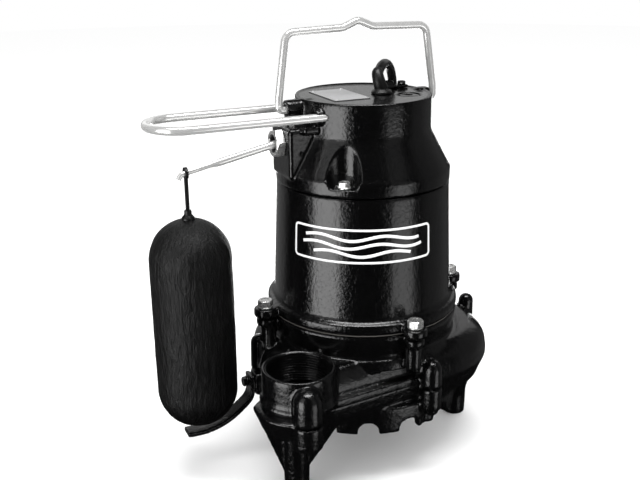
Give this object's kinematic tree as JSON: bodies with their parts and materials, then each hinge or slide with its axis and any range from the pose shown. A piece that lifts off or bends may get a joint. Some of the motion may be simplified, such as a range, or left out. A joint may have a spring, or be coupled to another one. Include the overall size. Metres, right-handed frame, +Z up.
{
  "type": "submersible sump pump",
  "caption": "Cast-iron submersible sump pump on feet, with an upright float on a lever, wire guard, wire bail handle, threaded discharge and power cord with a coil and plug",
  "frame": {"origin": "on the surface that the feet stand on, below the middle of the pump and its float, cord not counted", "axes": "+Z up, +Y to the back across the narrow way, +X away from the float"},
  "size_m": [0.3229, 0.3344, 0.3585],
  "materials": {
    "black_enamel": "glossy black enamel",
    "bright_wire": "bright nickel",
    "zinc_steel": "zinc plated",
    "float_plastic": "matte, lightly wrinkled",
    "black_rubber": "matte",
    "cord_jacket": "satin",
    "label_foil": "satin",
    "bare_iron": "machined",
    "stator_steel": "laminated",
    "copper_winding": "varnished",
    "bearing_steel": "ground",
    "seal_ceramic": "ceramic",
    "gasket_fibre": "matte",
    "switch_plastic": "satin",
    "capacitor_shell": "satin",
    "brass": "bright"
  },
  "bodies": {
    "pump_body": {"base_plate": "black_enamel", "volute_casing": "black_enamel", "motor_housing": "black_enamel", "motor_cover": "black_enamel", "housing_bolt_1": "zinc_steel", "housing_bolt_2": "zinc_steel", "housing_bolt_3": "zinc_steel", "housing_bolt_4": "zinc_steel", "cover_screw_1": "zinc_steel", "cover_screw_2": "zinc_steel", "cover_screw_3": "zinc_steel", "base_screw_1": "zinc_steel", "base_screw_2": "zinc_steel", "base_screw_3": "zinc_steel", "base_screw_4": "zinc_steel", "base_screw_5": "zinc_steel", "housing_gasket": "gasket_fibre", "cover_o_ring": "black_rubber", "stator_core": "stator_steel", "upper_winding": "copper_winding", "lower_winding": "copper_winding", "upper_bearing_plate": "bare_iron", "upper_bearing": "bearing_steel", "lower_bearing": "bearing_steel", "seal_seat": "seal_ceramic", "capacitor": "capacitor_shell", "microswitch": "switch_plastic", "switch_bracket": "zinc_steel", "gland_nut": "zinc_steel", "lever_boot": "black_rubber", "float_rest_arm": "black_enamel", "rest_arm_screw": "zinc_steel", "float_guard": "bright_wire", "strain_relief": "black_rubber", "cord_clamp": "black_enamel", "clamp_screw": "zinc_steel", "filler_plug": "black_enamel", "nameplate": "label_foil", "power_cord": "cord_jacket", "cord_coil": "cord_jacket", "coil_tie": "black_rubber", "plug_body": "black_rubber", "plug_blade_line": "brass", "plug_blade_neutral": "brass", "plug_ground_pin": "brass"},
    "rotor": {"rotor_core": "stator_steel", "shaft": "bearing_steel", "impeller": "bare_iron", "impeller_nut": "brass", "seal_head": "seal_ceramic", "seal_spring": "bearing_steel"},
    "lever": {"float_lever": "bright_wire"},
    "float": {"float_body": "float_plastic", "float_strap": "float_plastic", "float_collar": "black_rubber"},
    "bail": {"bail_handle": "bright_wire"},
    "plunger": {"switch_plunger": "switch_plastic"}
  },
  "joints": [
    {"name": "float_lever_pivot", "type": "hinge", "parent": "pump_body", "child": "lever", "pos_m": [-0.041, 0, 0.267], "axis": [0, 1, 0], "range_deg": [0, 25]},
    {"name": "float_hang", "type": "hinge", "parent": "lever", "child": "float", "pos_m": [-0.115, 0, 0.252], "axis": [0, 1, 0], "range_deg": [-25, 0]},
    {"name": "bail_pivot", "type": "hinge", "parent": "pump_body", "child": "bail", "pos_m": [0.033, 0, 0.292], "axis": [1, 0, 0], "range_deg": [-78, 78]},
    {"name": "rotor_spin", "type": "hinge", "parent": "pump_body", "child": "rotor", "pos_m": [0.033, 0, 0.15], "axis": [0, 0, 1], "continuous": true},
    {"name": "switch_plunger_travel", "type": "slide", "parent": "pump_body", "child": "plunger", "axis": [0, 0, -1], "range_m": [0, 0.0065]}
  ],
  "couplings": [
    {"joint": "float_hang", "follows": "float_lever_pivot", "ratio": -1},
    {"joint": "switch_plunger_travel", "follows": "float_lever_pivot", "m_per_rad": 0.0145}
  ]
}
